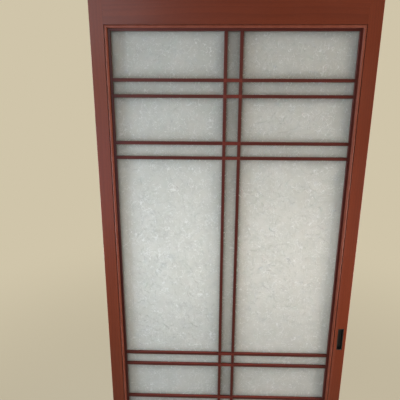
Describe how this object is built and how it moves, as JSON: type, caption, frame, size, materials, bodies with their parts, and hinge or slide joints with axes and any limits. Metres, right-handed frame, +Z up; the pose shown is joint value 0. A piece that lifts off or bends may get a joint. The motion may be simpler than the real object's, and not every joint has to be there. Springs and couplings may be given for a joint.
{
  "type": "shoji sliding screen",
  "caption": "Tall sliding screen: beaded timber frame, doubled lattice bars over a translucent paper sheet, a recessed finger pull and rollers in the foot.",
  "frame": {"origin": "under the middle of the panel, at the lowest point of the foot rollers, half-way through the frame's depth", "axes": "+Z up along the stiles, +X across the panel to the side with the finger pull, -Y out of the front with the lattice"},
  "size_m": [0.9, 0.035, 2.034],
  "materials": {
    "frame_wood": "cherry stain, satin lacquer",
    "lattice_wood": "cherry stain, satin lacquer",
    "stop_wood": "cherry stain, satin lacquer",
    "paper": "laminated paper with white fibres",
    "pull_metal": "black enamel",
    "screw_metal": "black oxide",
    "roller_steel": "zinc plated",
    "wheel_nylon": "off-white nylon"
  },
  "bodies": {
    "panel": {"left_stile": "frame_wood", "right_stile": "frame_wood", "top_rail": "frame_wood", "bottom_rail": "frame_wood", "left_border_strip": "lattice_wood", "right_border_strip": "lattice_wood", "top_border_strip": "lattice_wood", "bottom_border_strip": "lattice_wood", "left_upright_kumiko": "lattice_wood", "right_upright_kumiko": "lattice_wood", "cross_kumiko_1": "lattice_wood", "cross_kumiko_2": "lattice_wood", "cross_kumiko_3": "lattice_wood", "cross_kumiko_4": "lattice_wood", "cross_kumiko_5": "lattice_wood", "cross_kumiko_6": "lattice_wood", "cross_kumiko_7": "lattice_wood", "cross_kumiko_8": "lattice_wood", "left_back_stop": "stop_wood", "right_back_stop": "stop_wood", "top_back_stop": "stop_wood", "bottom_back_stop": "stop_wood", "paper_sheet": "paper", "finger_pull": "pull_metal", "pull_screws": "screw_metal", "left_roller_housing": "roller_steel", "left_roller_axle": "roller_steel", "left_roller_screws": "roller_steel", "right_roller_housing": "roller_steel", "right_roller_axle": "roller_steel", "right_roller_screws": "roller_steel"},
    "left_wheel": {"left_roller_wheel": "wheel_nylon"},
    "right_wheel": {"right_roller_wheel": "wheel_nylon"}
  },
  "joints": [
    {"name": "left_wheel_spin", "type": "hinge", "parent": "panel", "child": "left_wheel", "pos_m": [-0.32, 0, 0.013], "axis": [0, 1, 0], "continuous": true},
    {"name": "right_wheel_spin", "type": "hinge", "parent": "panel", "child": "right_wheel", "pos_m": [0.32, 0, 0.013], "axis": [0, 1, 0], "continuous": true}
  ]
}
